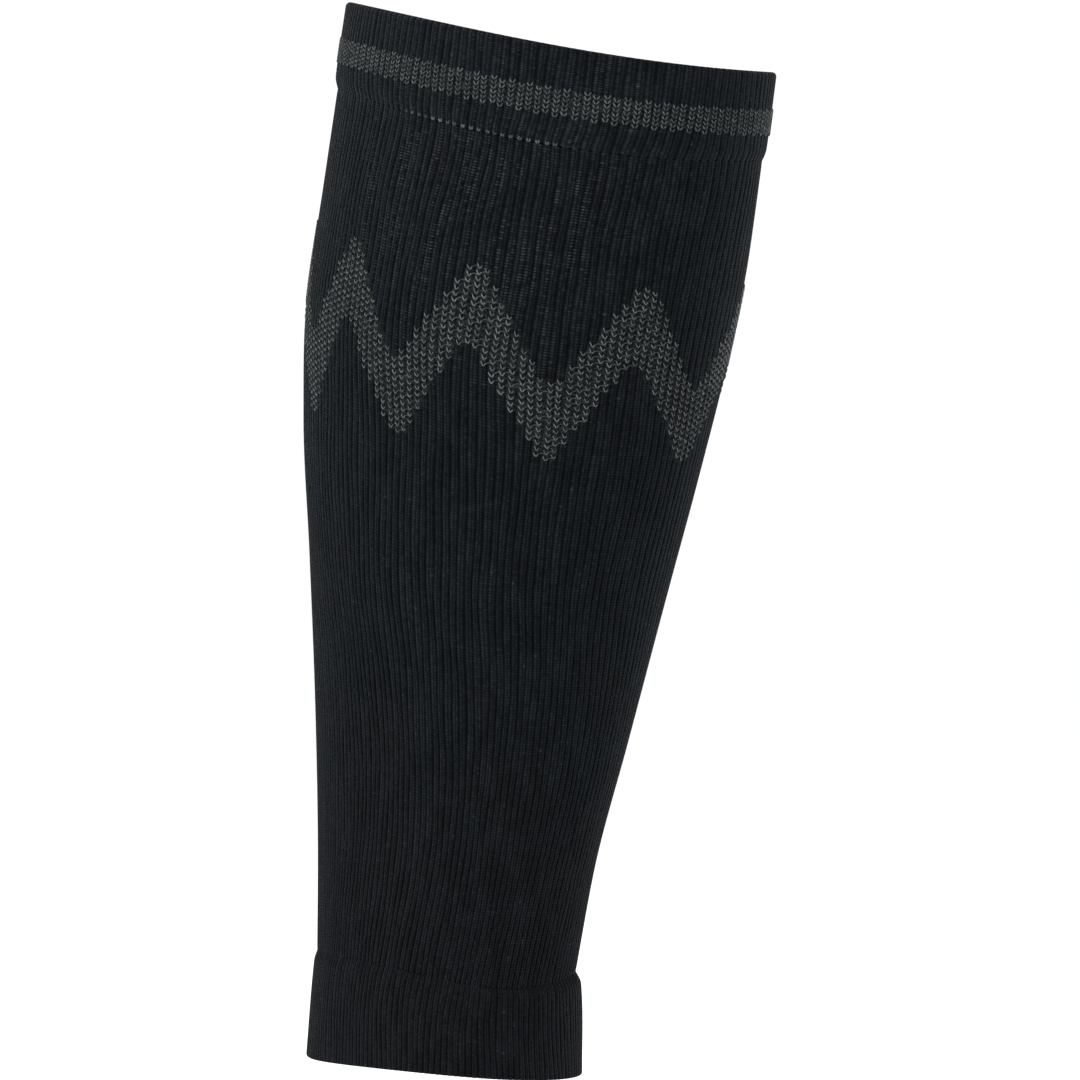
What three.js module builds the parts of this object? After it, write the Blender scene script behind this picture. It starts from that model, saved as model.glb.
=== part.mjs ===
// Calf compression sleeve: a tapered rib-knit tube, worn shape, with a turned double cuff at each end.
// Millimetres. +Z runs up the leg, +X to the right and -Y towards a viewer who faces the shin.
// The origin is on the leg's axis at the fullest girth of the calf, where the sleeve grips.
import * as THREE from "three";

// Driving dimensions
const RIB_COUNT = 144; // ribs round the leg, the same number from knee to ankle
const RIB_RELIEF = 0.5; // depth of the groove between two ribs
const KNIT_WALL = 1.3; // one layer of the knit, from the crest of a rib to the skin side
const FOLD_GAP = 0.3; // air between the two layers of a turned cuff
const SEAM_GAP = 0.3; // clearance between the tube and a cuff where they are linked
const SKIN_SIDES = 48; // facets round the smooth inside
const RIM_TUCK = 0.5; // how far a cuff's folded rim rolls in
const FOLD_HEIGHT = 1.4; // height of the fold at a cuff's rim
const SKEW = 0.19; // how far forward the leg's right side stands, for each mm to the right

// Sections of the tube from knee to ankle. height is the middle of the section on the axis.
// left, right, shin and calf are its reach from the axis to the crest of the ribs.
// tilt is how far its right side is raised, in degrees, and dip how far the front and back sag.
// lean is how much more it sags on the right than in the middle.
const TUBE_SECTIONS = [
  { height: 41.3, left: 64.5, right: 64.4, shin: 58.5, calf: 62.5, tilt: -3.2, dip: 5.8, lean: 0.0 },
  { height: 12.0, left: 65.6, right: 63.7, shin: 60.0, calf: 66.0, tilt: -2.4, dip: 5.0, lean: 0.0 },
  { height: -20.0, left: 66.8, right: 61.1, shin: 59.8, calf: 66.5, tilt: -1.7, dip: 5.0, lean: 0.0 },
  { height: -55.0, left: 63.9, right: 56.6, shin: 57.0, calf: 62.5, tilt: -0.9, dip: 4.8, lean: 0.0 },
  { height: -95.0, left: 57.5, right: 50.7, shin: 52.0, calf: 55.5, tilt: 0.0, dip: 4.6, lean: 0.0 },
  { height: -140.0, left: 50.6, right: 44.2, shin: 45.5, calf: 48.0, tilt: 1.0, dip: 4.0, lean: 1.6 },
  { height: -180.0, left: 45.3, right: 38.4, shin: 40.0, calf: 43.0, tilt: 1.9, dip: 3.3, lean: 3.4 },
  { height: -211.8, left: 41.9, right: 36.2, shin: 37.5, calf: 41.0, tilt: 2.5, dip: 2.6, lean: 5.0 },
];
// A cuff runs from its seam, where it is linked flush to the tube, over a soft roll to its folded rim.
const KNEE_CUFF = {
  seam: { height: 41.3, left: 64.6, right: 64.5, shin: 58.6, calf: 62.6, tilt: -3.2, dip: 5.8, lean: 0.0 },
  roll: { height: 44.8, left: 65.5, right: 65.3, shin: 59.4, calf: 63.3, tilt: -3.2, dip: 5.4, lean: 0.1 },
  rim: { height: 67.6, left: 64.8, right: 65.8, shin: 58.5, calf: 61.5, tilt: -3.0, dip: 2.8, lean: 0.9 },
};
const ANKLE_CUFF = {
  seam: { height: -211.8, left: 42.0, right: 36.4, shin: 37.7, calf: 41.2, tilt: 2.5, dip: 2.6, lean: 5.0 },
  roll: { height: -215.0, left: 42.5, right: 38.2, shin: 39.3, calf: 42.3, tilt: 2.5, dip: 2.3, lean: 4.5 },
  rim: { height: -243.2, left: 41.7, right: 41.6, shin: 40.5, calf: 43.0, tilt: 3.6, dip: -0.8, lean: 1.1 },
};

const tubeKnit = new THREE.MeshStandardMaterial({ color: 0x1a1d20, roughness: 0.9, metalness: 0 });
const kneeKnit = new THREE.MeshStandardMaterial({ color: 0x202226, roughness: 0.9, metalness: 0 });
const ankleKnit = new THREE.MeshStandardMaterial({ color: 0x18191c, roughness: 0.85, metalness: 0 });

const RIBBED_SIDES = 2 * RIB_COUNT; // one point on each crest and one in each groove

// A section moved along the leg, all else kept
function raised(section, rise) {
  return { ...section, height: section.height + rise };
}

// The section a share of the way from one to another
function between(from, to, share) {
  const mixed = {};
  for (const column of Object.keys(from)) {
    mixed[column] = THREE.MathUtils.lerp(from[column], to[column], share);
  }
  return mixed;
}

// Points round a section, each pulled in towards the axis by inset(index)
function ring(section, sides, inset) {
  const rise = Math.tan(THREE.MathUtils.degToRad(section.tilt));
  const points = [];
  for (let index = 0; index < sides; index += 1) {
    const angle = (2 * Math.PI * index) / sides;
    const across = Math.cos(angle);
    const toward = Math.sin(angle);
    const x = across * (across > 0 ? section.right : section.left);
    const y = toward * (toward > 0 ? section.calf : section.shin) - SKEW * x;
    const sag = (section.dip + section.lean * across) * toward ** 2;
    const z = section.height + rise * x - sag;
    const keep = 1 - inset(index) / Math.hypot(x, y);
    points.push(new THREE.Vector3(x * keep, y * keep, z));
  }
  return points;
}

// The outside of the knit: every second point lies in a groove
function ribbedRing(section, depth = 0) {
  return ring(section, RIBBED_SIDES, (index) => depth + (index % 2) * RIB_RELIEF);
}

// A smooth ring, on the skin side or inside a fold
function smoothRing(section, depth) {
  return ring(section, SKIN_SIDES, () => depth);
}

// Triangles between two rings. The finer ring's points are shared out among the coarser one's.
function bridge(lower, upper, triangles) {
  const sides = Math.max(lower.length, upper.length);
  const nearest = (loop, step) => loop[Math.round((step * loop.length) / sides) % loop.length];
  for (let step = 0; step < sides; step += 1) {
    const [a, b] = [nearest(lower, step), nearest(lower, step + 1)];
    const [c, d] = [nearest(upper, step), nearest(upper, step + 1)];
    if (a !== b) triangles.push(a, b, d);
    if (c !== d) triangles.push(a, d, c);
  }
}

// One closed wall: each ring is joined to the next, and the last to the first
function closedWall(rings, facesOut) {
  const triangles = [];
  rings.forEach((loop, index) => bridge(loop, rings[(index + 1) % rings.length], triangles));
  if (!facesOut) triangles.reverse();
  return new THREE.BufferGeometry().setFromPoints(triangles);
}

// The tube: one layer of rib knit, open at both ends
function legTube() {
  const last = TUBE_SECTIONS.length - 1;
  const sections = TUBE_SECTIONS.map((section, index) => {
    if (index === 0) return raised(section, -SEAM_GAP);
    return index === last ? raised(section, SEAM_GAP) : section;
  }).reverse();
  const outside = sections.map((section) => ribbedRing(section));
  const skinSide = sections.map((section) => smoothRing(section, KNIT_WALL)).reverse();
  return closedWall([...outside, ...skinSide], true);
}

// A cuff: the knit folded back on itself at the rim, so that it is two layers thick
function turnedCuff({ seam, roll, rim }) {
  const length = Math.abs(rim.height - roll.height);
  const shoulder = between(roll, rim, 1 - FOLD_HEIGHT / length);
  const crease = between(roll, rim, 1 - (FOLD_HEIGHT + KNIT_WALL) / length);
  const innerLayer = KNIT_WALL + FOLD_GAP;
  const skinDepth = KNIT_WALL + innerLayer;
  const rings = [
    ribbedRing(seam),
    ribbedRing(roll),
    ribbedRing(shoulder),
    ribbedRing(rim, RIM_TUCK),
    smoothRing(rim, skinDepth - RIM_TUCK),
    smoothRing(shoulder, skinDepth),
    smoothRing(seam, skinDepth),
    smoothRing(seam, innerLayer),
    smoothRing(crease, innerLayer),
    smoothRing(crease, KNIT_WALL),
    smoothRing(roll, KNIT_WALL),
    smoothRing(seam, KNIT_WALL),
  ];
  return closedWall(rings, rim.height > seam.height);
}

function piece(name, geometry, material) {
  const mesh = new THREE.Mesh(geometry, material);
  mesh.name = name;
  return mesh;
}

const sleeve = new THREE.Group();
sleeve.add(piece("leg_tube", legTube(), tubeKnit));
sleeve.add(piece("knee_cuff", turnedCuff(KNEE_CUFF), kneeKnit));
sleeve.add(piece("ankle_cuff", turnedCuff(ANKLE_CUFF), ankleKnit));

export default sleeve;
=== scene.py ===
# Calf compression sleeve: rib-knit tube, two turned cuffs and a knitted-in grey zigzag
import math

import bpy
import numpy as np
from mathutils import Matrix, Vector


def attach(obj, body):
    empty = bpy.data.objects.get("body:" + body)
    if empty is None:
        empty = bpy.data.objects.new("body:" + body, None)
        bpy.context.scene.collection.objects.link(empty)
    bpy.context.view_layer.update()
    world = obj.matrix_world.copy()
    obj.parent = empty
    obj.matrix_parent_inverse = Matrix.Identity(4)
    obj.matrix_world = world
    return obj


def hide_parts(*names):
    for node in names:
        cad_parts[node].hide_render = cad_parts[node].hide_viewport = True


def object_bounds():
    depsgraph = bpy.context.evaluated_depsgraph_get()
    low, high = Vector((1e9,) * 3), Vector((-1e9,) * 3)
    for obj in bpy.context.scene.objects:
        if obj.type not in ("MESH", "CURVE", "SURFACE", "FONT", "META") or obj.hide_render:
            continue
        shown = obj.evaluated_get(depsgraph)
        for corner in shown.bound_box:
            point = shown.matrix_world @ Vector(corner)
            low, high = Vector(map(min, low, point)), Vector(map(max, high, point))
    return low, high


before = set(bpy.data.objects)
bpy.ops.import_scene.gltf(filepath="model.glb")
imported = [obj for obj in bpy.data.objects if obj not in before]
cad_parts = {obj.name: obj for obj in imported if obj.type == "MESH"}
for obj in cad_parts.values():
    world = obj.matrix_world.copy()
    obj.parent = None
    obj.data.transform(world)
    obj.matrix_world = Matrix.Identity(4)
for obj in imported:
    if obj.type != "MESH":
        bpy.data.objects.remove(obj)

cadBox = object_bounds()
mm = 0.001
fullTurn = 2 * math.pi
print("frame:", sorted(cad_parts))

# Worn form, in mm. A section is its height, its reach from the leg's axis to the left, right, shin and
# calf side, its tilt in degrees, the dip of its front and back, and how much more it dips on the right.
knit = {
    "ribs": 144,
    "ribWidth": 2.65,  # at the fullest part of the front
    "layer": 1.3,  # thickness of one layer
    "foldGap": 0.3,  # air inside a turned cuff
    "ribDepth": 0.40,  # groove between two ribs
    "halfDepth": 0.13,  # shallow groove along the middle of a rib
    "finePerRib": 8,  # points across one rib on the outside
    "skew": 0.19,  # how far forward the right side stands, for each mm to the right
    "crowd": 5.3,  # how many ribs' widths the ribs are drawn from the right to the left
    "crowdStart": -0.24,
    # sideways drift of the ribs: size in ribs, waves round the leg, mm of height per radian, start
    "waver": [
        (0.15, 4, 17.0, 0.4),
        (0.10, 9, -11.0, 1.9),
        (0.05, 23, 5.0, 0.0),
        (0.04, 47, 26.0, 0.7),
        (0.04, 61, -35.0, 2.2),
    ],
    # height, and how many ribs' widths the ribs have turned round the leg there
    "twist": [
        (72.0, 0.0),
        (40.0, 0.0),
        (10.0, -0.85),
        (-20.0, -1.05),
        (-50.0, -0.35),
        (-90.0, 0.1),
        (-125.0, 1.95),
        (-155.0, 3.0),
        (-170.0, 3.1),
        (-185.0, 2.75),
        (-212.0, 1.5),
        (-222.0, 1.25),
        (-245.0, 2.2),
    ],
}
ribCount = knit["ribs"]


# Smooth curve through the table's columns
def sectionColumns(sections, heights):
    table = np.array(sorted(sections), float)
    at, values = table[:, 0], table[:, 1:]
    steps = np.diff(values, axis=0) / np.diff(at)[:, None]
    before, after = steps[:-1], steps[1:]
    slopes = np.concatenate([steps[:1], np.zeros_like(before), steps[-1:]])
    np.divide(2 * before * after, before + after, out=slopes[1:-1], where=before * after > 0)
    k = np.clip(np.searchsorted(at, heights) - 1, 0, len(at) - 2)
    span = (at[k + 1] - at[k])[:, None]
    t = (heights - at[k])[:, None] / span
    rise = t * t * (3 - 2 * t)
    ends = (1 - rise) * values[k] + rise * values[k + 1]
    bend = t * (1 - t) * ((1 - t) * slopes[k] - t * slopes[k + 1])
    return ends + span * bend


def waver(ribs, heights):
    turn = fullTurn * ribs / ribCount
    moved = sectionColumns(knit["twist"], heights)[:, 0]
    moved = moved + knit["crowd"] * np.sin(turn + knit["crowdStart"])
    for size, count, run, start in knit["waver"]:
        moved = moved + size * np.sin(count * turn + heights / run + start)
    return moved


# Points of the worn surface in mm, one for each height, rib and depth below the crests
def wornPoints(piece, heights, ribs, depth):
    left, right, shin, calf, tilt, dip, lean = sectionColumns(piece["sections"], heights).T
    nearSeam = np.exp(-(((heights - piece["seam"]) / piece["seamReach"]) ** 2))
    turn = fullTurn * ribs / ribCount
    jog = piece["jog"] * (1 - nearSeam) * np.cos(2 * turn + piece["jogStart"])
    angle = turn + fullTurn * (waver(ribs, heights) + jog) / ribCount
    across, toward = np.cos(angle), np.sin(angle)
    x = across * np.where(across > 0, right, left)
    y = toward * np.where(toward > 0, calf, shin) - knit["skew"] * x
    ripple = piece["ripple"] * np.cos(fullTurn * ribs) * nearSeam
    sag = (dip + lean * across) * toward**2
    z = heights + np.tan(np.radians(tilt)) * x - sag + ripple
    keep = 1 - depth / np.hypot(x, y)
    return np.stack([x * keep, y * keep, z], -1)


# Node helpers, for shader and geometry trees alike
def addNode(tree, kind, inputs=None, **settings):
    made = tree.nodes.new(kind)
    for key, value in settings.items():
        setattr(made, key, value)
    for key, value in (inputs or {}).items():
        if isinstance(value, bpy.types.NodeSocket):
            tree.links.new(value, made.inputs[key])
        else:
            made.inputs[key].default_value = value
    return made


def calc(tree, operation, *values):
    return addNode(tree, "ShaderNodeMath", dict(enumerate(values)), operation=operation).outputs[0]


def vector(tree, x, y, z=0.0):
    return addNode(tree, "ShaderNodeCombineXYZ", {"X": x, "Y": y, "Z": z}).outputs[0]


def ramp(tree, value, fromMin, fromMax, toMin=0.0, toMax=1.0, kind="SMOOTHSTEP"):
    ends = {"Value": value, "From Min": fromMin, "From Max": fromMax, "To Min": toMin, "To Max": toMax}
    return addNode(tree, "ShaderNodeMapRange", ends, interpolation_type=kind).outputs["Result"]


def noise(tree, place, scale, detail=2.0, dimensions="3D"):
    inputs = {"Vector": place, "Scale": scale, "Detail": detail}
    return addNode(tree, "ShaderNodeTexNoise", inputs, noise_dimensions=dimensions).outputs[0]


def scaled(tree, value, share):
    return addNode(tree, "ShaderNodeVectorMath", {0: value, "Scale": share}, operation="SCALE").outputs[0]


# A colour mix has its share in socket 0 and its two colours in 6 and 7
def blendColour(tree, share, first, second):
    return addNode(tree, "ShaderNodeMix", {0: share, 6: first, 7: second}, data_type="RGBA").outputs[2]


# How far a value is from the middle of its whole step, 0 to 0.5
def fromCentre(tree, value):
    return calc(tree, "ABSOLUTE", calc(tree, "SUBTRACT", calc(tree, "FRACT", value), 0.5))


# A value that changes between two heights in mm
def overHeight(tree, height, edges, values=(0.0, 1.0)):
    low, high = edges
    return ramp(tree, height, low * mm, high * mm, *values)


def attribute(tree, name, kind):
    return addNode(tree, "GeometryNodeInputNamedAttribute", {"Name": name}, data_type=kind).outputs[0]


def newTree(name, kind, inputs, outputs):
    tree = bpy.data.node_groups.new(name, kind)
    for label, socket, value in inputs:
        made = tree.interface.new_socket(label, in_out="INPUT", socket_type="NodeSocket" + socket)
        if value is not None:
            made.default_value = value
    for label, socket in outputs:
        tree.interface.new_socket(label, in_out="OUTPUT", socket_type="NodeSocket" + socket)
    entry = tree.nodes.new("NodeGroupInput")
    leave = tree.nodes.new("NodeGroupOutput")
    return tree, entry.outputs, leave.inputs


# Runs a tree on a mesh and gives back a plain mesh object
def grown(name, mesh, tree, values):
    seedObject = bpy.data.objects.new(name + "_seed", mesh)
    bpy.context.scene.collection.objects.link(seedObject)
    modifier = seedObject.modifiers.new("grow", "NODES")
    modifier.node_group = tree
    sockets = {item.name: item.identifier for item in tree.interface.items_tree if item.in_out == "INPUT"}
    for label, value in values.items():
        modifier[sockets[label]] = value
    graph = bpy.context.evaluated_depsgraph_get()
    made = bpy.data.meshes.new_from_object(seedObject.evaluated_get(graph))
    made.name = name
    seedObject.modifiers.remove(modifier)
    bpy.data.objects.remove(seedObject)
    piece = bpy.data.objects.new(name, made)
    bpy.context.scene.collection.objects.link(piece)
    print(f"{name}: {sum(len(p.vertices) - 2 for p in made.polygons)} triangles")
    return piece


# Knit shading, shared by the tube and the cuffs: grooves with rungs of yarn across them, bars on each
# wale and flecks of bare thread. The grooves and the gaps between loops are painted darker, as painted
# shade on top of the real relief, and a few loops get a painted highlight. A noise is its step from rib
# to rib, its scale and its detail. A change is the two levels that it lies between and its value at each.
knitChange = {
    "perCourse": 0.035,  # step of a noise from course to course
    "drift": (0.73, 1.0, 2.0),
    "patch": (1.37, 1.7, 1.0),
    "sway": (0.12, 1.0, 1.0),
    "bareWales": (1.73, 1.0, 1.0),  # steps from wale to wale
    "swayCourses": 2.0,  # how far whole rows of loops wander
    "driftCourses": 0.5,  # how far one rib's loops are out of step with the next one's
    "loopCurve": 0.25,  # how steeply a loop rises to its sides
    "grooveFlat": 0.01,  # flat bottom of a groove, in ribs
    "halfFlat": 0.02,
    "grooveWide": (0.3, 0.7, 0.7, 1.3),
    "rungs": (0.35, 0.6, 1.0, 0.2),
    "fibres": (6.0, 0.4),  # across a rib and along a course
    "fibreNoise": (1.3, 3.0),  # scale, detail
    "driftShade": (0.25, 0.75, 0.89, 1.11),
    "fibreShade": (0.25, 0.75, 0.7, 1.3),
    # painted highlights: a few loops are painted lighter, as if they catch the light
    "paintedGlint": (0.993, 0.999, 1.0, 1.7),  # a few loops catch the light
    "barRelief": 0.65,
    "fibreRelief": 0.35,
    "bareShare": (0.46, 0.7),
    "bareTall": (0.5, 1.0),
    "bareWide": (0.25, 0.45, 1.0, 0.0),
    "bareLoops": (0.1, 0.95, 0.1, 1.2),
}


def knitFace(d):
    inputs = [
        ("Rib", "Float", 0.0),
        ("Course", "Float", 0.0),
        ("Groove Width", "Float", 0.2),
        ("Half Width", "Float", 0.14),
        ("Groove Shade", "Float", 0.35),
        ("Half Shade", "Float", 0.65),
        ("Second Wale", "Float", 1.0),
        ("Bar Shade", "Float", 0.3),
        ("Rung", "Float", 0.3),
        ("Loop Change", "Float", 0.5),
        ("Fleck", "Float", 0.0),
    ]
    outputs = [("Shade", "Float"), ("Height", "Float"), ("Thread", "Float")]
    tree, given, out = newTree("knitFace", "ShaderNodeTree", inputs, outputs)
    slowCourse = calc(tree, "MULTIPLY", given["Course"], d["perCourse"])

    def slowNoise(number, label):
        step, scale, detail = d[label]
        place = vector(tree, calc(tree, "MULTIPLY", number, step), slowCourse)
        return noise(tree, place, scale, detail, "2D")

    # 1 off the mask, the shade on it
    def shadedBy(mask, shade):
        return calc(tree, "MULTIPLY_ADD", mask, calc(tree, "SUBTRACT", shade, 1.0), 1.0)

    # slow change from rib to rib and along a rib
    ribNumber = calc(tree, "FLOOR", given["Rib"])
    drift, patch, sway = (slowNoise(ribNumber, label) for label in ("drift", "patch", "sway"))
    # a groove beside each rib and a shallower one along its middle; both masks take painted shade below
    fromMiddle = fromCentre(tree, given["Rib"])
    grooveWide = calc(tree, "MULTIPLY", given["Groove Width"], ramp(tree, patch, *d["grooveWide"]))
    groove = ramp(tree, fromMiddle, calc(tree, "SUBTRACT", 0.5, grooveWide), 0.5 - d["grooveFlat"])
    halfGroove = ramp(tree, fromMiddle, d["halfFlat"], given["Half Width"], 1.0, 0.0)
    # a rib is two wales of loops, and the gap between two loops is painted dark, as painted shade in the
    # pits
    wale = calc(tree, "MULTIPLY", given["Rib"], 2.0)
    waleNumber = calc(tree, "FLOOR", wale)
    second = calc(tree, "MULTIPLY", calc(tree, "FRACT", calc(tree, "MULTIPLY", waleNumber, 0.5)), 2.0)
    fromWale = fromCentre(tree, wale)
    swayed = calc(tree, "MULTIPLY_ADD", sway, d["swayCourses"], given["Course"])
    outOfStep = calc(tree, "MULTIPLY_ADD", drift, d["driftCourses"], swayed)
    alongWale = calc(tree, "MULTIPLY_ADD", fromWale, -d["loopCurve"], outOfStep)
    inLoop = calc(tree, "MULTIPLY", calc(tree, "FRACT", alongWale), fullTurn)
    gap = calc(tree, "MULTIPLY_ADD", calc(tree, "COSINE", inLoop), 0.5, 0.5)
    bar = calc(tree, "SUBTRACT", 1.0, gap)
    cell = vector(tree, waleNumber, calc(tree, "FLOOR", alongWale))
    dice = addNode(tree, "ShaderNodeTexWhiteNoise", {"Vector": cell}, noise_dimensions="2D")
    chance = dice.outputs["Value"]
    # fibres run along the wales
    acrossRib, alongCourse = d["fibres"]
    fibreX = calc(tree, "MULTIPLY", given["Rib"], acrossRib)
    fibreY = calc(tree, "MULTIPLY", given["Course"], alongCourse)
    fibre = noise(tree, vector(tree, fibreX, fibreY), *d["fibreNoise"], "2D")
    # shade of the surface: painted shade in the grooves and in the gaps between loops, lifted where rungs
    # of yarn cross them, random tone from loop to loop and rib to rib, and a painted highlight on a few
    # loops
    rungs = calc(tree, "MULTIPLY", bar, given["Rung"])
    rung = calc(tree, "MULTIPLY", rungs, ramp(tree, patch, *d["rungs"]))
    groovePaintedShade = shadedBy(groove, calc(tree, "ADD", given["Groove Shade"], rung))
    halfPaintedShade = shadedBy(halfGroove, calc(tree, "MULTIPLY_ADD", rung, 0.5, given["Half Shade"]))
    gapPaintedShade = calc(tree, "MULTIPLY_ADD", gap, calc(tree, "MULTIPLY", given["Bar Shade"], -1.0), 1.0)
    waleKeep = shadedBy(second, given["Second Wale"])
    loopKeep = calc(tree, "MULTIPLY_ADD", calc(tree, "SUBTRACT", chance, 0.5), given["Loop Change"], 1.0)
    paintedGlintKeep = ramp(tree, chance, *d["paintedGlint"])
    driftKeep = ramp(tree, drift, *d["driftShade"], "LINEAR")
    fibreKeep = ramp(tree, fibre, *d["fibreShade"], "LINEAR")
    shade = calc(tree, "MULTIPLY", groovePaintedShade, halfPaintedShade)
    for keep in (gapPaintedShade, waleKeep, loopKeep, paintedGlintKeep, driftKeep, fibreKeep):
        shade = calc(tree, "MULTIPLY", shade, keep)
    tree.links.new(shade, out["Shade"])
    # relief for the bump
    fibreRise = calc(tree, "MULTIPLY", fibre, d["fibreRelief"])
    raised = calc(tree, "MULTIPLY_ADD", bar, d["barRelief"], fibreRise)
    onWale = calc(tree, "SUBTRACT", 1.0, groove)
    tree.links.new(calc(tree, "MULTIPLY", raised, onWale), out["Height"])
    # bare thread on the loops of some wales
    shows = ramp(tree, slowNoise(waleNumber, "bareWales"), *d["bareShare"])
    onLoop = calc(tree, "MULTIPLY", ramp(tree, bar, *d["bareTall"]), ramp(tree, fromWale, *d["bareWide"]))
    someLoops = calc(tree, "MULTIPLY", shows, ramp(tree, chance, *d["bareLoops"], "LINEAR"))
    thread = calc(tree, "MULTIPLY", calc(tree, "MULTIPLY", onLoop, someLoops), given["Fleck"])
    tree.links.new(thread, out["Thread"])
    return tree


knitGroup = knitFace(knitChange)


# Grey yarn knitted in: a zigzag round the calf and a plain stripe round the knee cuff
zigzag = {
    "middle": -25.0,
    "swing": 15.5,  # up and down from the middle
    "band": 24.0,  # height of the band
    "periodRibs": 18,
    "blunt": 0.85,  # share of a slope that is left where its tips are flat
    "step": 1.86,  # from stitch to stitch up a rib
    "stagger": 17 / 36,  # how far up the next rib's stitches stand, in steps
    "ground": 0.8,  # how far the cloth between the stitches takes on their ground
    "shine": (0.5, 1.0),
    "faint": (-0.15, 0.35),  # lightness of the arch to the next rib
    "lift": 0.05,
    "spread": 1.5,
    "foot": 0.12,
    "tall": 1.05,
    "lean": 0.5,
    "bow": 0.2,
    "hollow": 0.0,
    "arch": 0.3,
    "thread": 0.40,
    "uneven": 0.16,
    "seed": 5,
}
stripe = {
    "middle": 53.1,
    "swing": 0.0,
    "band": 7.5,
    "periodRibs": 18,
    "blunt": 1.0,
    "step": 1.25,
    "stagger": 0.5,
    "ground": 0.8,
    "shine": (0.35, 0.75),
    "faint": (0.0, 0.0),
    "lift": 0.05,
    "spread": 1.6,
    "foot": 0.3,
    "tall": 1.0,
    "lean": 0.0,
    "bow": 0.2,
    "hollow": 0.15,
    "arch": 0.0,
    "thread": 0.48,
    "uneven": 0.16,
    "seed": 11,
}


# Where the grey stitches lie, from the rib and the course: the cloth has another ground there
def inlayMask(tree, rib, course, d, cloth):
    share = calc(tree, "FRACT", calc(tree, "DIVIDE", calc(tree, "FLOOR", rib), d["periodRibs"]))
    fromValley = calc(tree, "ABSOLUTE", calc(tree, "SUBTRACT", share, 0.5))
    slope = calc(tree, "MULTIPLY_ADD", fromValley, 4.0, -1.0)
    swing = ramp(tree, slope, -d["blunt"], d["blunt"], -1.0, 1.0, "LINEAR")
    middle = calc(tree, "MULTIPLY_ADD", swing, d["swing"], d["middle"])
    height = calc(tree, "MULTIPLY_ADD", course, cloth["course"], cloth["seam"])
    off = calc(tree, "ABSOLUTE", calc(tree, "SUBTRACT", height, middle))
    half = d["band"] / 2
    return ramp(tree, off, half - d["step"], half, d["ground"], 0.0)


def knitMaterial(look, cloth, inlay=None):
    material = bpy.data.materials.new(look["name"])
    material.use_nodes = True
    tree = material.node_tree
    tree.nodes.clear()
    where = addNode(tree, "ShaderNodeUVMap", uv_map="knit")
    parts = addNode(tree, "ShaderNodeSeparateXYZ", {"Vector": where.outputs[0]})
    at = addNode(tree, "ShaderNodeTexCoord").outputs["Object"]
    height = addNode(tree, "ShaderNodeSeparateXYZ", {"Vector": at}).outputs["Z"]
    face = addNode(tree, "ShaderNodeGroup", node_tree=knitGroup)
    for label, value in look["face"].items():
        face.inputs[label].default_value = value
    tree.links.new(parts.outputs["X"], face.inputs["Rib"])
    tree.links.new(parts.outputs["Y"], face.inputs["Course"])
    # flecks are on the upper front alone
    middleRib, spreadRibs = look["fleckRibs"]
    fromFront = calc(tree, "ABSOLUTE", calc(tree, "SUBTRACT", parts.outputs["X"], middleRib))
    aside = ramp(tree, fromFront, spreadRibs / 2, spreadRibs, look["fleck"], 0.0)
    above = overHeight(tree, height, look["fleckFade"])
    tree.links.new(calc(tree, "MULTIPLY", above, aside), face.inputs["Fleck"])
    for label, values in look["faceOverHeight"].items():
        tree.links.new(overHeight(tree, height, look["faceFade"], values), face.inputs[label])
    # clouds of cool and warm black, warmer towards the ankle
    clouds = noise(tree, at, look["cloudScale"])
    towardAnkle = overHeight(tree, height, look["warmFade"], (look["warmAnkle"], 0.0))
    warmth = calc(tree, "ADD", clouds, towardAnkle)
    tint = blendColour(tree, warmth, look["cool"], look["warm"])
    # lighter towards the wide end: its loops are pulled more open there, and the rest is painted light,
    # standing in for more lamp light on the upper sleeve
    stretchAndLight = overHeight(tree, height, look["stretchAndLightFade"], (1.0, look["stretchAndLight"]))
    lightness = calc(tree, "MULTIPLY", face.outputs["Shade"], stretchAndLight)
    colour = blendColour(tree, face.outputs["Thread"], scaled(tree, tint, lightness), look["bareThread"])
    if inlay:
        behind = inlayMask(tree, parts.outputs["X"], parts.outputs["Y"], inlay, cloth)
        haze = ramp(tree, noise(tree, at, look["hazeScale"]), *look["hazeFade"])
        ground = blendColour(tree, haze, look["inlayGround"], look["inlayHaze"])
        colour = blendColour(tree, behind, colour, ground)
    relief = {"Strength": look["bump"], "Distance": look["bumpHeight"] * mm}
    bump = addNode(tree, "ShaderNodeBump", dict(relief, Height=face.outputs["Height"]))
    finish = {
        "Base Color": colour,
        "Roughness": ramp(tree, face.outputs["Shade"], *look["roughness"], "LINEAR"),
        "Normal": bump.outputs[0],
        "Specular IOR Level": look["specular"],
        "Sheen Weight": look["sheen"],
        "Sheen Roughness": look["sheenRoughness"],
        "Sheen Tint": look["sheenTint"],
    }
    surface = addNode(tree, "ShaderNodeBsdfPrincipled", finish)
    addNode(tree, "ShaderNodeOutputMaterial", {"Surface": surface.outputs[0]})
    return material


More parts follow.
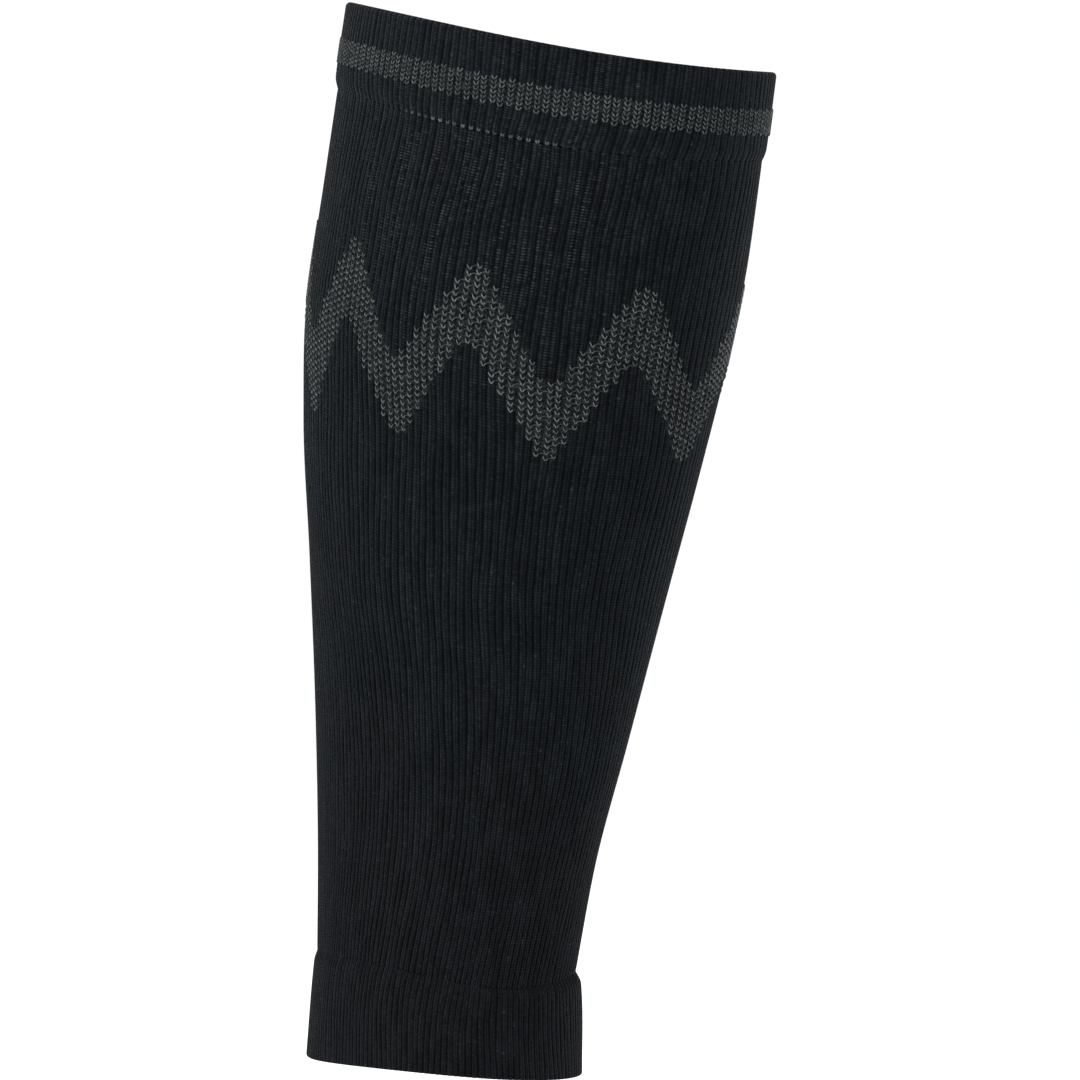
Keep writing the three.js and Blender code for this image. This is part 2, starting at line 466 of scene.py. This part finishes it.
# Rib tree: sinks the grooves of the knit into a smooth wall
def ribTree():
    inputs = [
        ("Wall", "Geometry", None),
        ("Rib Depth", "Float", 0.0004),
        ("Half Depth", "Float", 0.00015),
        ("Groove Width", "Float", 0.3),
        ("Half Width", "Float", 0.2),
        ("Uneven", "Float", 0.3),
        ("Lump Scale", "Float", 160.0),
        ("Seed", "Float", 3.0),
        ("Material", "Material", None),
    ]
    tree, given, out = newTree("ribKnit", "GeometryNodeTree", inputs, [("Knit", "Geometry")])
    rib = attribute(tree, "rib", "FLOAT")
    relief = attribute(tree, "relief", "FLOAT")
    fromMiddle = fromCentre(tree, rib)
    groove = ramp(tree, fromMiddle, calc(tree, "SUBTRACT", 0.5, given["Groove Width"]), 0.5)
    half = ramp(tree, fromMiddle, 0.0, given["Half Width"], 1.0, 0.0)
    place = addNode(tree, "GeometryNodeInputPosition").outputs[0]
    lumps = {"Vector": place, "W": given["Seed"], "Scale": given["Lump Scale"], "Detail": 1.0}
    lump = addNode(tree, "ShaderNodeTexNoise", lumps, noise_dimensions="4D").outputs[0]
    swing = calc(tree, "MULTIPLY_ADD", calc(tree, "SUBTRACT", lump, 0.5), given["Uneven"], 1.0)
    deep = calc(tree, "MULTIPLY", calc(tree, "MULTIPLY", groove, given["Rib Depth"]), swing)
    sink = calc(tree, "MULTIPLY_ADD", half, given["Half Depth"], deep)
    inward = calc(tree, "MULTIPLY", calc(tree, "MULTIPLY", sink, relief), -1.0)
    offset = scaled(tree, addNode(tree, "GeometryNodeInputNormal").outputs[0], inward)
    moved = addNode(tree, "GeometryNodeSetPosition", {"Geometry": given["Wall"], "Offset": offset})
    real = addNode(tree, "GeometryNodeRealizeInstances", {"Geometry": moved.outputs[0]})
    dress = {"Geometry": real.outputs[0], "Material": given["Material"]}
    tree.links.new(addNode(tree, "GeometryNodeSetMaterial", dress).outputs[0], out["Knit"])
    return tree


ribs = ribTree()


# Faces between two rings, as (ring, column) corners. The finer ring has a whole number of points to one.
def ringFaces(lower, upper):
    if lower == upper:
        return [[(0, j), (0, j + 1), (1, j + 1), (1, j)] for j in range(lower)]
    fineFirst = lower > upper
    ratio = max(lower, upper) // min(lower, upper)
    faces = []
    for k in range(min(lower, upper)):
        middle = k * ratio + ratio // 2
        for j in range(k * ratio, (k + 1) * ratio):
            apex = k if j < middle else k + 1
            if fineFirst:
                faces.append([(0, j), (0, j + 1), (1, apex)])
            else:
                faces.append([(1, j + 1), (1, j), (0, apex)])
        if fineFirst:
            faces.append([(0, middle), (1, k + 1), (1, k)])
        else:
            faces.append([(0, k), (0, k + 1), (1, middle)])
    return faces


# Heights of the bake map's rows: the outside takes most of the square and the inside a strip
bakeRows = {"inside": 0.12, "least": 0.05}


# A closed wall from rows round the leg. Each row: height, depth, relief, course, fine or not.
def sweptWall(name, piece, rows, outward):
    heights, depth, relief, course = np.array([row[:4] for row in rows], float).T
    counts = [ribCount * (knit["finePerRib"] if row[4] else 1) for row in rows]
    starts = np.concatenate([[0], np.cumsum(counts)])
    points, ribAt = [], []
    for k, count in enumerate(counts):
        at = np.arange(count) * ribCount / count
        points.append(wornPoints(piece, np.full(count, heights[k]), at, np.full(count, depth[k])) * mm)
        ribAt.append(at)
    weight = np.array([1.0 if row[4] else bakeRows["inside"] for row in rows])
    steps = np.hypot(np.diff(heights, append=heights[0]), np.diff(depth, append=depth[0]))
    steps = steps * weight + bakeRows["least"]
    spread = np.concatenate([[0], np.cumsum(steps)]) / steps.sum()
    faces, knitMap, bakeMap = [], [], []
    for k, count in enumerate(counts):
        after = (k + 1) % len(counts)
        for face in ringFaces(count, counts[after]):
            corners = []
            for ring, column in face if outward else face[::-1]:
                row, size = (after, counts[after]) if ring else (k, count)
                corners.append(int(starts[row]) + column % size)
                around = column / size
                knitMap.append((around * ribCount, course[row]))
                bakeMap.append((around, spread[k + ring]))
            faces.append(corners)
    mesh = bpy.data.meshes.new(name + "_wall")
    mesh.from_pydata(np.concatenate(points).tolist(), [], faces)
    for label, values in (("rib", np.concatenate(ribAt)), ("relief", np.repeat(relief, counts))):
        mesh.attributes.new(label, "FLOAT", "POINT").data.foreach_set("value", values)
    for label, values in (("knit", knitMap), ("OFBake", bakeMap)):
        mesh.uv_layers.new(name=label).uv.foreach_set("vector", np.array(values, np.float32).ravel())
    mesh.polygons.foreach_set("use_smooth", np.ones(len(faces), bool))
    mesh.update()
    return mesh


def ribbed(name, wall, material):
    depths = {"Rib Depth": knit["ribDepth"] * mm, "Half Depth": knit["halfDepth"] * mm}
    return grown(name, wall, ribs, dict(depths, Material=material))


# Leg tube
legTube = {
    "seam": -211.8,  # height of the wavy seam
    "seamReach": 2.5,
    "ripple": 0.3,  # size of the seam's waves
    "jog": 0.0,  # how many ribs' widths the ribs step sideways at the seam, at most
    "jogStart": 0.0,
    "sections": [
        (41.3, 64.5, 64.4, 58.5, 62.5, -3.2, 5.8, 0.0),
        (12.0, 65.6, 63.7, 60.0, 66.0, -2.4, 5.0, 0.0),
        (-20.0, 66.8, 61.1, 59.8, 66.5, -1.7, 5.0, 0.0),
        (-55.0, 63.9, 56.6, 57.0, 62.5, -0.9, 4.8, 0.0),
        (-95.0, 57.5, 50.7, 52.0, 55.5, 0.0, 4.6, 0.0),
        (-140.0, 50.6, 44.2, 45.5, 48.0, 1.0, 4.0, 1.6),
        (-180.0, 45.3, 38.4, 40.0, 43.0, 1.9, 3.3, 3.4),
        (-211.8, 41.9, 36.2, 37.5, 41.0, 2.5, 2.6, 5.0),
    ],
    "seamGap": 0.08,
    "endRows": [0.0, 0.5, 1.1, 2.0],  # distance from a seam
    "rows": 72,
    "insideRows": 24,
    "course": 0.87,  # height of one course of loops
    "pinch": 0.08,  # how far the ends are drawn in at the seams
    "pinchReach": 3.0,
    "seamRelief": 0.5,  # depth of the ribs at the seams, as a share
}
tubeLook = {
    "name": "tubeKnit",
    "cool": (0.0072, 0.0108, 0.0139, 1),
    "warm": (0.0090, 0.0102, 0.0122, 1),
    "cloudScale": 38.0,
    "warmFade": (-190.0, -90.0),
    "warmAnkle": 0.45,  # how much more of the warm black there is at the ankle
    # how much lighter the wide end is, from more open loops and from painted light
    "stretchAndLight": 1.29,
    "stretchAndLightFade": (-60.0, 40.0),
    "bareThread": (0.055, 0.058, 0.060, 1),
    # between the grey stitches: holes, and the yarn that runs behind
    "inlayGround": (0.0040, 0.0050, 0.0052, 1),
    "inlayHaze": (0.0215, 0.0245, 0.0250, 1),
    "hazeScale": 1300.0,
    "hazeFade": (0.42, 0.62),
    "fleckFade": (-70.0, 10.0),
    "fleckRibs": (106.0, 20.0),  # middle, and how far round the leg the flecks reach from it
    "fleck": 0.5,
    "bump": 1.0,
    "bumpHeight": 0.35,
    "specular": 0.04,
    "sheen": 0.04,
    "sheenRoughness": 0.45,
    "sheenTint": (0.75, 0.88, 1.0, 1),
    "roughness": (0.2, 1.2, 0.95, 0.8),  # shade of the grooves and of the loops, and how rough each is
    # shades low and high on the sleeve; the groove and half shades are painted shade in the grooves
    "faceFade": (-150.0, -20.0),
    "faceOverHeight": {
        "Groove Shade": (0.08, 0.14),
        "Half Shade": (0.3, 0.32),
        "Second Wale": (0.95, 0.78),
    },
    "face": {
        "Groove Width": 0.37,
        "Half Width": 0.19,
        # Bar Shade is painted shade in the gaps between loops
        "Bar Shade": 0.28,
        "Rung": 0.4,
        "Loop Change": 0.6,
    },
}


def makeLegTube(d):
    low = d["sections"][-1][0] + d["seamGap"]
    high = d["sections"][0][0] - d["seamGap"]
    ends = np.array(d["endRows"])
    middle = np.linspace(low + d["pinchReach"], high - d["pinchReach"], d["rows"])
    outside = np.concatenate([low + ends, middle, high - ends[::-1]])
    inside = np.linspace(high, low, d["insideRows"])
    rows = []
    for heights, layer, fine in ((outside, 0.0, True), (inside, knit["layer"], False)):
        for h in heights:
            near = max(0.0, 1 - min(h - low, high - h) / d["pinchReach"])
            relief = 1 - (1 - d["seamRelief"]) * near if fine else 0.0
            rows.append((h, layer + d["pinch"] * near**2, relief, (h - d["seam"]) / d["course"], fine))
    return ribbed("leg_knit", sweptWall("leg_knit", d, rows, True), knitMaterial(tubeLook, d, zigzag))


legKnit = makeLegTube(legTube)

# Cuffs, each from its seam to its folded rim
turnedCuff = {
    "tuck": 0.12,  # how far the seam's edge is drawn in
    "tuckFade": 4,
    "fold": 1.4,  # height of the fold
    "relief": 0.7,  # depth of the ribs, as a share of the tube's
    "ribEnd": 0.6,  # share of the way round the fold that the ribs run
    "rollRows": 8,
    "rollCrowd": 1.5,  # above 1, the rows crowd towards the seam
    "rows": 40,
    "foldRows": 11,
    "insideRows": 8,
}
kneeCuff = {
    **turnedCuff,
    "seam": 41.3,
    "seamReach": 5.0,
    "ripple": 0.12,
    "jog": 0.6,
    "jogStart": 2.3,
    "sections": [
        (41.3, 64.6, 64.5, 58.6, 62.6, -3.2, 5.8, 0.0),
        (44.8, 65.5, 65.3, 59.4, 63.3, -3.2, 5.4, 0.1),
        (67.6, 64.8, 65.8, 58.5, 61.5, -3.0, 2.8, 0.9),
    ],
    "round": 1.0,  # 1 for a round fold, less for a squarer one
    "seamRelief": 0.4,
    "course": 0.62,
}
ankleCuff = {
    **turnedCuff,
    "seam": -211.8,
    "seamReach": 2.5,
    "ripple": 0.3,
    "jog": 0.0,
    "jogStart": 0.0,
    "sections": [
        (-211.8, 42.0, 36.4, 37.7, 41.2, 2.5, 2.6, 5.0),
        (-215.0, 42.5, 38.2, 39.3, 42.3, 2.5, 2.3, 4.5),
        (-243.2, 41.7, 41.6, 40.5, 43.0, 3.6, -0.8, 1.1),
    ],
    "round": 0.55,
    "seamRelief": 1.0,
    "course": 0.72,
}
kneeLook = dict(tubeLook, name="kneeKnit", fleck=0.3)
ankleLook = dict(tubeLook, name="ankleKnit", fleck=0.0)


def makeCuff(name, d, look, inlay=None):
    seam, roll, rim = (section[0] for section in d["sections"])
    way = 1 if rim > seam else -1
    length, rollLength = abs(rim - seam), abs(roll - seam)
    skin = 2 * knit["layer"] + knit["foldGap"]
    rows = []

    # the courses run on over the fold and back to the seam
    def addRow(along, depth, relief, fine, turned=False):
        knitted = 2 * length - along if turned else along
        rows.append((seam + way * along, depth, relief, knitted / d["course"], fine))

    for share in np.linspace(0, 1, d["rollRows"]) ** d["rollCrowd"]:
        relief = d["seamRelief"] + (d["relief"] - d["seamRelief"]) * share
        addRow(rollLength * share, d["tuck"] * (1 - share) ** d["tuckFade"], relief, True)
    for along in np.linspace(rollLength, length - d["fold"], d["rows"])[1:]:
        addRow(along, 0.0, d["relief"], True)
    ribEnd = d["ribEnd"] * math.pi
    for angle in np.linspace(0, math.pi, d["foldRows"])[1:]:
        fade = d["relief"] * max(0.0, 1 - angle / ribEnd)
        down, inward = math.sin(angle), math.cos(angle)
        along = length - d["fold"] * (1 - max(down, 0) ** d["round"])
        depth = skin / 2 * (1 - math.copysign(abs(inward) ** d["round"], inward))
        addRow(along, depth, fade, angle < ribEnd, inward < 0)
    for along in np.linspace(length - d["fold"], 0, d["insideRows"])[1:]:
        addRow(along, skin, 0.0, False, True)
    return ribbed(name, sweptWall(name, d, rows, way > 0), knitMaterial(look, d, inlay))


kneeKnit = makeCuff("knee_knit", kneeCuff, kneeLook, stripe)
ankleKnit = makeCuff("ankle_knit", ankleCuff, ankleLook)


# Stitch tree: two bowed legs of yarn on every point, lying on the cloth, and the arch to the next rib
stitchYarn = {
    "sides": 5,
    "steps": 3,  # along a strand
    "taper": (0.35, 0.55),  # share of a strand that is drawn in at each end, and how thin the end is
    "leftLight": 1.0,
    "rightLight": 0.8,
    "leanAside": 0.6,  # how far the feet stand aside where the legs are unlike
    "archPeak": 0.6,  # how far along the arch its peak is pulled
}


def stitchTree(d):
    inputs = [
        ("Places", "Geometry", None),
        ("Spread", "Float", 0.0019),  # from head to head
        ("Foot", "Float", 0.0004),  # from foot to foot
        ("Tall", "Float", 0.0016),
        ("Lean", "Float", 0.0),  # how far the left leg is longer and the right one shorter
        ("Bow", "Float", 0.0002),  # how far a leg curves out of the cloth
        ("Hollow", "Float", 0.0001),  # how far it curves to the side
        ("Thread", "Float", 0.00045),
        ("Arch", "Float", 0.0004),  # height of the arch
        ("Pitch", "Float", 0.00265),  # to the next rib
        ("Rise", "Float", 0.0),  # how far up the next rib's stitch stands
        ("Uneven", "Float", 0.15),
        ("Seed", "Int", 5),
        ("Material", "Material", None),
    ]
    tree, given, out = newTree("stitchField", "GeometryNodeTree", inputs, [("Stitches", "Geometry")])
    circle = {"Resolution": d["sides"], "Radius": calc(tree, "MULTIPLY", given["Thread"], 0.5)}
    section = addNode(tree, "GeometryNodeCurvePrimitiveCircle", circle).outputs[0]
    along = addNode(tree, "GeometryNodeSplineParameter").outputs["Factor"]
    taperShare, thinEnd = d["taper"]
    taper = ramp(tree, calc(tree, "PINGPONG", along, 0.5), 0.0, taperShare, thinEnd, 1.0)
    half = calc(tree, "MULTIPLY", given["Tall"], 0.5)
    low = calc(tree, "MULTIPLY", half, -1.0)
    unlike = calc(tree, "MULTIPLY", half, given["Lean"])
    aside = calc(tree, "MULTIPLY", unlike, d["leanAside"])

    def legHead(side):
        head = calc(tree, "MULTIPLY", given["Spread"], side)
        return head, calc(tree, "MULTIPLY_ADD", unlike, -2 * side, half)

    def strand(begin, middle, finish, light):
        path = {"Resolution": d["steps"], "Start": begin, "Middle": middle, "End": finish}
        line = addNode(tree, "GeometryNodeCurveQuadraticBezier", path).outputs[0]
        mark = {"Geometry": line, "Name": "strand", "Value": light}
        lit = addNode(tree, "GeometryNodeStoreNamedAttribute", mark)
        sweep = {"Curve": lit.outputs[0], "Profile Curve": section, "Scale": taper, "Fill Caps": True}
        return addNode(tree, "GeometryNodeCurveToMesh", sweep).outputs[0]

    legs = tree.nodes.new("GeometryNodeJoinGeometry")
    for side, light in ((-0.5, d["leftLight"]), (0.5, d["rightLight"])):
        foot = calc(tree, "MULTIPLY_ADD", given["Foot"], side, aside)
        head, top = legHead(side)
        between = calc(tree, "MULTIPLY", calc(tree, "ADD", foot, head), 0.5)
        belly = calc(tree, "MULTIPLY_ADD", given["Hollow"], 2 * side, between)
        bulge = vector(tree, belly, 0.0, given["Bow"])
        leg = strand(vector(tree, foot, low), bulge, vector(tree, head, top), light)
        tree.links.new(leg, legs.inputs[0])
    # the arch runs from the right leg's head
    head, top = legHead(0.5)
    peakX = calc(tree, "MULTIPLY", given["Pitch"], d["archPeak"])
    peakY = calc(tree, "MULTIPLY_ADD", given["Arch"], 2.0, top)
    nextX = calc(tree, "ADD", given["Pitch"], aside)
    nextY = calc(tree, "ADD", low, given["Rise"])
    arch = strand(vector(tree, head, top), vector(tree, peakX, peakY), vector(tree, nextX, nextY), 0.0)
    least = calc(tree, "MULTIPLY", given["Uneven"], -1.0)
    spin = addNode(tree, "FunctionNodeRandomValue", {"Seed": given["Seed"]}, data_type="FLOAT_VECTOR")
    tree.links.new(vector(tree, least, least, least), spin.inputs[0])
    tree.links.new(vector(tree, given["Uneven"], given["Uneven"], given["Uneven"]), spin.inputs[1])
    clothUp = attribute(tree, "up", "FLOAT_VECTOR")
    skew = addNode(tree, "ShaderNodeVectorMath", {0: clothUp, 1: spin.outputs[0]})
    axes = {"Primary Axis": attribute(tree, "out", "FLOAT_VECTOR"), "Secondary Axis": skew.outputs[0]}
    turn = addNode(tree, "FunctionNodeAxesToRotation", axes, primary_axis="Z", secondary_axis="Y")
    size = attribute(tree, "size", "FLOAT")
    field = {
        "Points": given["Places"],
        "Rotation": turn.outputs[0],
        "Scale": vector(tree, size, size, size),
    }
    whole = tree.nodes.new("GeometryNodeJoinGeometry")
    for shape, chosen in ((legs.outputs[0], True), (arch, attribute(tree, "arched", "FLOAT"))):
        copies = dict(field, Instance=shape, Selection=chosen)
        tree.links.new(addNode(tree, "GeometryNodeInstanceOnPoints", copies).outputs[0], whole.inputs[0])
    real = addNode(tree, "GeometryNodeRealizeInstances", {"Geometry": whole.outputs[0]})
    smooth = addNode(tree, "GeometryNodeSetShadeSmooth", {"Geometry": real.outputs[0]})
    dress = {"Geometry": smooth.outputs[0], "Material": given["Material"]}
    tree.links.new(addNode(tree, "GeometryNodeSetMaterial", dress).outputs[0], out["Stitches"])
    return tree


stitches = stitchTree(stitchYarn)


# Points for the stitch tree, each with the cloth's out and up directions, its size and its own marks
def stitchPlaces(name, piece, ribsAt, heights, lift, marks):
    step = 0.05  # in ribs and mm, to each side, for the cloth's directions
    near = 2.0  # ribs to each side that a stitch takes its size from
    depth = np.full(len(ribsAt), -lift)

    def clothSpan(ribStep, rise):
        ahead = wornPoints(piece, heights + rise, ribsAt + ribStep, depth)
        return ahead - wornPoints(piece, heights - rise, ribsAt - ribStep, depth)

    across, wide, up = clothSpan(step, 0.0), clothSpan(near, 0.0), clothSpan(0.0, step)
    size = np.linalg.norm(wide, axis=1) / (2 * near * knit["ribWidth"])
    up /= np.linalg.norm(up, axis=1)[:, None]
    mesh = bpy.data.meshes.new(name + "_places")
    mesh.from_pydata((wornPoints(piece, heights, ribsAt, depth) * mm).tolist(), [], [])
    for label, values in (("out", np.cross(across, up)), ("up", up)):
        mesh.attributes.new(label, "FLOAT_VECTOR", "POINT").data.foreach_set("vector", values.ravel())
    for label, values in dict(marks, size=size).items():
        mesh.attributes.new(label, "FLOAT", "POINT").data.foreach_set("value", values)
    return mesh


# Yarn: twisted fibres, lighter or darker from stitch to stitch and from strand to strand
def yarnMaterial(look):
    material = bpy.data.materials.new(look["name"])
    material.use_nodes = True
    tree = material.node_tree
    tree.nodes.clear()
    at = addNode(tree, "ShaderNodeTexCoord").outputs["Object"]
    labels = ("shine", "faint", "strand")
    marks = [addNode(tree, "ShaderNodeAttribute", attribute_name=label) for label in labels]
    shine, faint, strand = (mark.outputs["Fac"] for mark in marks)
    plain = calc(tree, "MULTIPLY_ADD", strand, calc(tree, "SUBTRACT", shine, faint), faint)
    fibre = noise(tree, at, look["fibreScale"])
    lightness = calc(tree, "MULTIPLY", plain, ramp(tree, fibre, *look["fibreShade"]))
    colour = blendColour(tree, lightness, look["shadow"], look["light"])
    relief = {"Strength": look["bump"], "Distance": look["bumpHeight"] * mm}
    bump = addNode(tree, "ShaderNodeBump", dict(relief, Height=fibre))
    finish = {
        "Base Color": colour,
        "Roughness": ramp(tree, fibre, *look["roughness"], "LINEAR"),
        "Normal": bump.outputs[0],
        "Specular IOR Level": look["specular"],
        "Sheen Weight": look["sheen"],
    }
    surface = addNode(tree, "ShaderNodeBsdfPrincipled", finish)
    addNode(tree, "ShaderNodeOutputMaterial", {"Surface": surface.outputs[0]})
    return material


greyLook = {
    "name": "greyYarn",
    "shadow": (0.004, 0.005, 0.006, 1),
    "light": (0.110, 0.122, 0.125, 1),
    "fibreScale": 2200.0,
    # two levels of the fibres' noise, and the value at each
    "fibreShade": (0.3, 0.7, 0.6, 1.25),
    "roughness": (0.2, 0.8, 0.95, 0.75),
    "bump": 0.5,
    "bumpHeight": 0.1,
    "specular": 0.08,
    "sheen": 0.03,
}
greyYarn = yarnMaterial(greyLook)


def stitchValues(d):
    sizes = ("Spread", "Foot", "Tall", "Bow", "Hollow", "Thread", "Arch")
    values = {label: d[label.lower()] * mm for label in sizes}
    return dict(values, Lean=d["lean"], Uneven=d["uneven"], Seed=d["seed"])


def bandMiddle(d, rib):
    share = (rib / d["periodRibs"]) % 1
    return d["middle"] + d["swing"] * np.clip((4 * abs(share - 0.5) - 1) / d["blunt"], -1, 1)


# Grey stitches, one column on every rib. There is an arch where the next rib has a stitch to meet it.
def makeInlay(name, d, cloth):
    rng = np.random.default_rng(d["seed"])
    half, rise = d["band"] / 2, d["stagger"] * d["step"]
    ribsAt, heights, arched = [], [], []
    for rib in range(ribCount):
        middle, nextMiddle = bandMiddle(d, rib), bandMiddle(d, rib + 1)
        offset = d["step"] * ((d["stagger"] * rib) % 1)
        first = math.ceil((middle - half - offset) / d["step"])
        last = math.floor((middle + half - offset) / d["step"])
        for k in range(first, last + 1):
            ribsAt.append(rib + 0.5)
            heights.append(k * d["step"] + offset)
            arched.append(d["arch"] > 0 and abs(heights[-1] + rise - nextMiddle) <= half)
    marks = {label: np.clip(rng.uniform(*d[label], len(ribsAt)), 0, 1) for label in ("shine", "faint")}
    marks["arched"] = np.array(arched, float)
    places = stitchPlaces(name, cloth, np.array(ribsAt), np.array(heights), d["lift"], marks)
    values = dict(stitchValues(d), Pitch=knit["ribWidth"] * mm, Rise=rise * mm)
    return grown(name, places, stitches, dict(values, Material=greyYarn))


greyZigzag = makeInlay("grey_zigzag", zigzag, legTube)
greyStripe = makeInlay("grey_stripe", stripe, kneeCuff)

# Linking stitches along the knee seam, where its lighter yarn shows on the front
kneeLinking = {
    "height": 41.8,
    "lightRibs": (94.5, 116.0),
    "lightFade": 3.0,
    "shine": (0.2, 1.0),
    "lift": -0.05,
    "spread": 0.8,
    "foot": 0.35,
    "tall": 0.9,
    "lean": 0.0,
    "bow": 0.3,
    "hollow": 0.1,
    "arch": 0.0,
    "thread": 0.6,
    "uneven": 0.3,
    "seed": 23,
}


def makeLinking(d):
    rng = np.random.default_rng(d["seed"])
    first, last = d["lightRibs"]
    ribsAt = np.arange(math.ceil(first), math.floor(last)) + 0.5
    inside = np.minimum(ribsAt - first, last - ribsAt) / d["lightFade"]
    shine = np.clip(inside, 0, 1) * rng.uniform(*d["shine"], len(ribsAt))
    heights = np.full(len(ribsAt), d["height"])
    marks = {"shine": shine, "faint": 0 * shine, "arched": 0 * shine}
    places = stitchPlaces("knee_linking", kneeCuff, ribsAt, heights, d["lift"], marks)
    return grown("knee_linking", places, stitches, dict(stitchValues(d), Material=greyYarn))


kneeLinks = makeLinking(kneeLinking)

for piece, slot in (
    (legKnit, "tube_knit"),
    (kneeKnit, "cuff_knit"),
    (ankleKnit, "cuff_knit"),
    (greyZigzag, "grey_yarn"),
    (greyStripe, "grey_yarn"),
    (kneeLinks, "grey_yarn"),
):
    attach(piece, "root")
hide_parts("leg_tube")
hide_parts("knee_cuff")
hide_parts("ankle_cuff")

print("sleeve dressed")

# Studio: white surround, pale floor and soft lamps in front and behind
studio = {
    "floorDrop": 0.10,  # below the ankle rim
    "floorSize": 14.0,
    "floorColour": (0.95, 0.95, 0.95, 1),
    "floorRoughness": 0.9,
    "surround": 1.06,
    "lamps": [
        # place, width, watts
        ((-1.5, -1.2, -0.35), 0.9, 52.0),
        ((1.5, -1.2, 0.5), 1.0, 9.0),
        ((-1.2, 1.5, 0.3), 1.0, 12.0),
        ((1.2, 1.5, 0.3), 1.0, 12.0),
    ],
    "lampAim": (0.0, 0.0, -0.07),
}


def makeStudio(d):
    drop = cadBox[0].z - d["floorDrop"]
    half = d["floorSize"] / 2
    corners = [(-half, -half, drop), (half, -half, drop), (half, half, drop), (-half, half, drop)]
    mesh = bpy.data.meshes.new("floor")
    mesh.from_pydata(corners, [], [(0, 1, 2, 3)])
    floor = bpy.data.objects.new("floor", mesh)
    bpy.context.scene.collection.objects.link(floor)
    paint = bpy.data.materials.new("paleFloor")
    paint.use_nodes = True
    shader = paint.node_tree.nodes["Principled BSDF"]
    shader.inputs["Base Color"].default_value = d["floorColour"]
    shader.inputs["Roughness"].default_value = d["floorRoughness"]
    mesh.materials.append(paint)
    world = bpy.data.worlds.new("whiteSurround")
    world.use_nodes = True
    sky = world.node_tree.nodes["Background"]
    sky.inputs["Color"].default_value = (1, 1, 1, 1)
    sky.inputs["Strength"].default_value = d["surround"]
    bpy.context.scene.world = world
    for k, (place, width, watts) in enumerate(d["lamps"]):
        lamp = bpy.data.lights.new(f"softLamp{k}", "AREA")
        lamp.size = width
        lamp.energy = watts
        lampObject = bpy.data.objects.new(f"softLamp{k}", lamp)
        lampObject.location = place
        aim = Vector(d["lampAim"]) - Vector(place)
        lampObject.rotation_euler = aim.to_track_quat("-Z", "Y").to_euler()
        bpy.context.scene.collection.objects.link(lampObject)
    bpy.context.scene.view_settings.view_transform = "Standard"


makeStudio(studio)

# Camera, level with the knee rim and a little rolled, so the sleeve leans as it does in the picture
shot = {
    "aim": (11.1, 0.0, -82.9),  # mm, the middle of the picture
    "away": 3000.0,
    "eyeHeight": 55.0,
    "roll": 6.4,  # degrees
    "seen": 324.0,  # width of the picture at the sleeve
    "sensor": 36.0,
    "reach": 100.0,  # metres
}


def makeCamera(d):
    aim = Vector(d["aim"]) * mm
    eye = Vector((d["aim"][0], -d["away"], d["eyeHeight"])) * mm
    look = (aim - eye).normalized()
    level = look.cross(Vector((0, 0, 1))).normalized()
    upright = level.cross(look)
    roll = math.radians(d["roll"])
    right = level * math.cos(roll) + upright * math.sin(roll)
    up = upright * math.cos(roll) - level * math.sin(roll)
    data = bpy.data.cameras.new("photoView")
    data.sensor_width = d["sensor"]
    data.lens = d["sensor"] * (aim - eye).length / (d["seen"] * mm)
    data.clip_end = d["reach"]
    camera = bpy.data.objects.new("photoView", data)
    turn = Matrix((right, up, -look)).transposed().to_4x4()
    camera.matrix_world = Matrix.Translation(eye) @ turn
    bpy.context.scene.collection.objects.link(camera)
    bpy.context.scene.camera = camera


makeCamera(shot)
print("studio and camera set")
